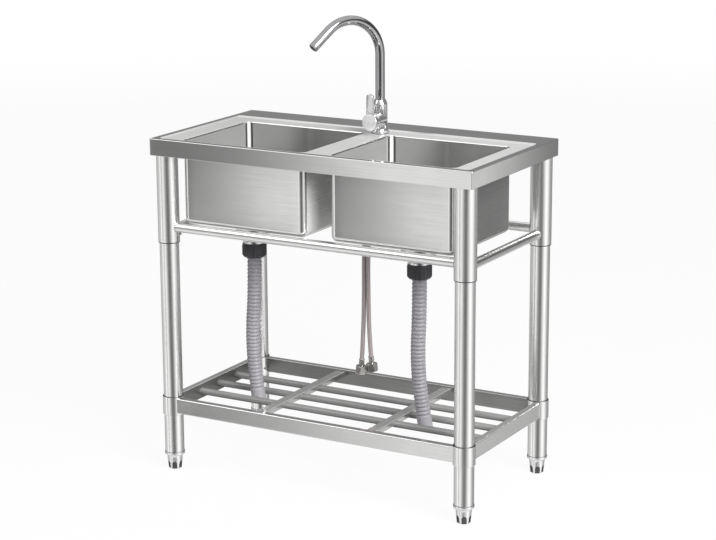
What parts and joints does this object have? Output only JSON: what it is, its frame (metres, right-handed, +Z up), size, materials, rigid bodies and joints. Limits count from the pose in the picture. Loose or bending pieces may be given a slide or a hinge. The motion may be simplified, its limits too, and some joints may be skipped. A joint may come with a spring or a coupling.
{
  "type": "kitchen sink unit",
  "caption": "Free-standing stainless kitchen sink unit: two bowls in a rimmed top with a gooseneck mixer, on round legs with a slatted shelf and ribbed drain hoses.",
  "frame": {"origin": "on the floor, under the middle of the deck", "axes": "+X to the right along the front, +Y towards the back, +Z up; the front faces -Y"},
  "size_m": [0.82, 0.435, 1.0635],
  "materials": {
    "deck_steel": "brushed stainless sheet, grain left to right",
    "bowl_steel": "brushed stainless sheet",
    "tube_steel": "polished stainless tube",
    "rail_steel": "satin stainless folded sheet",
    "foot_metal": "bright plated die casting",
    "insert_plastic": "black nylon",
    "screw_steel": "plain stainless",
    "strainer_steel": "polished stainless",
    "seal_rubber": "black rubber",
    "black_plastic": "moulded black plastic",
    "hose_grey": "grey corrugated plastic",
    "tap_chrome": "mirror chrome",
    "brass": "machined brass",
    "washer_steel": "plain stainless",
    "cartridge_plastic": "white engineering plastic",
    "aerator_plastic": "grey plastic",
    "braid_steel": "stainless wire braid with a pinkish tint over a rubber tube",
    "nut_chrome": "plated nut"
  },
  "bodies": {
    "frame": {"sink_deck": "deck_steel", "left_bowl": "bowl_steel", "right_bowl": "bowl_steel", "upper_sleeve_front_left": "tube_steel", "leg_tube_front_left": "tube_steel", "shelf_collar_front_left": "tube_steel", "upper_sleeve_front_right": "tube_steel", "leg_tube_front_right": "tube_steel", "shelf_collar_front_right": "tube_steel", "upper_sleeve_back_left": "tube_steel", "leg_tube_back_left": "tube_steel", "shelf_collar_back_left": "tube_steel", "upper_sleeve_back_right": "tube_steel", "leg_tube_back_right": "tube_steel", "shelf_collar_back_right": "tube_steel", "upper_front_rail": "tube_steel", "upper_back_rail": "tube_steel", "upper_left_rail": "tube_steel", "upper_right_rail": "tube_steel", "shelf_slats": "tube_steel", "shelf_front_rail": "rail_steel", "shelf_back_rail": "rail_steel", "shelf_left_rail": "rail_steel", "shelf_right_rail": "rail_steel", "shelf_strap_left": "rail_steel", "shelf_strap_right": "rail_steel", "foot_inserts": "insert_plastic", "set_screws": "screw_steel", "strainer_cups": "strainer_steel", "drain_gaskets": "seal_rubber", "hose_washers": "seal_rubber", "faucet_gasket": "seal_rubber", "drain_locknuts": "black_plastic", "coupling_nuts": "black_plastic", "drain_hose_left": "hose_grey", "drain_hose_right": "hose_grey", "faucet_body": "tap_chrome", "spout_collar": "tap_chrome", "cartridge_cover": "tap_chrome", "faucet_shank": "brass", "faucet_locknut": "brass", "faucet_washer": "washer_steel", "cartridge": "cartridge_plastic", "supply_hose_cold": "braid_steel", "supply_hose_hot": "braid_steel", "supply_ferrules": "nut_chrome", "union_nuts": "nut_chrome"},
    "spout": {"spout": "tap_chrome", "aerator": "aerator_plastic", "spout_o_rings": "seal_rubber"},
    "valve_core": {"cartridge_turntable": "cartridge_plastic"},
    "handle": {"handle_lever": "tap_chrome", "cartridge_stem": "brass"},
    "basket_left": {"strainer_basket_left": "strainer_steel"},
    "basket_right": {"strainer_basket_right": "strainer_steel"},
    "adjustable_foot_front_left": {"foot_front_left": "foot_metal"},
    "adjustable_foot_front_right": {"foot_front_right": "foot_metal"},
    "adjustable_foot_back_left": {"foot_back_left": "foot_metal"},
    "adjustable_foot_back_right": {"foot_back_right": "foot_metal"}
  },
  "joints": [
    {"name": "spout_swivel", "type": "hinge", "parent": "frame", "child": "spout", "pos_m": [0.012, 0.104, 0.84], "axis": [0, 0, 1], "continuous": true},
    {"name": "lever_turn", "type": "hinge", "parent": "frame", "child": "valve_core", "pos_m": [0.012, 0.074, 0.818], "axis": [0, 1, 0], "range_deg": [-50, 50]},
    {"name": "lever_tilt", "type": "hinge", "parent": "valve_core", "child": "handle", "pos_m": [0.012, 0.074, 0.818], "axis": [1, 0, 0], "range_deg": [0, 25]},
    {"name": "basket_left_lift", "type": "slide", "parent": "frame", "child": "basket_left", "axis": [0, 0, 1], "range_m": [0, 0.08]},
    {"name": "basket_right_lift", "type": "slide", "parent": "frame", "child": "basket_right", "axis": [0, 0, 1], "range_m": [0, 0.08]},
    {"name": "front_left_foot_screw", "type": "slide", "parent": "frame", "child": "adjustable_foot_front_left", "axis": [0, 0, -1], "range_m": [0, 0.02]},
    {"name": "front_right_foot_screw", "type": "slide", "parent": "frame", "child": "adjustable_foot_front_right", "axis": [0, 0, -1], "range_m": [0, 0.02]},
    {"name": "back_left_foot_screw", "type": "slide", "parent": "frame", "child": "adjustable_foot_back_left", "axis": [0, 0, -1], "range_m": [0, 0.02]},
    {"name": "back_right_foot_screw", "type": "slide", "parent": "frame", "child": "adjustable_foot_back_right", "axis": [0, 0, -1], "range_m": [0, 0.02]}
  ]
}
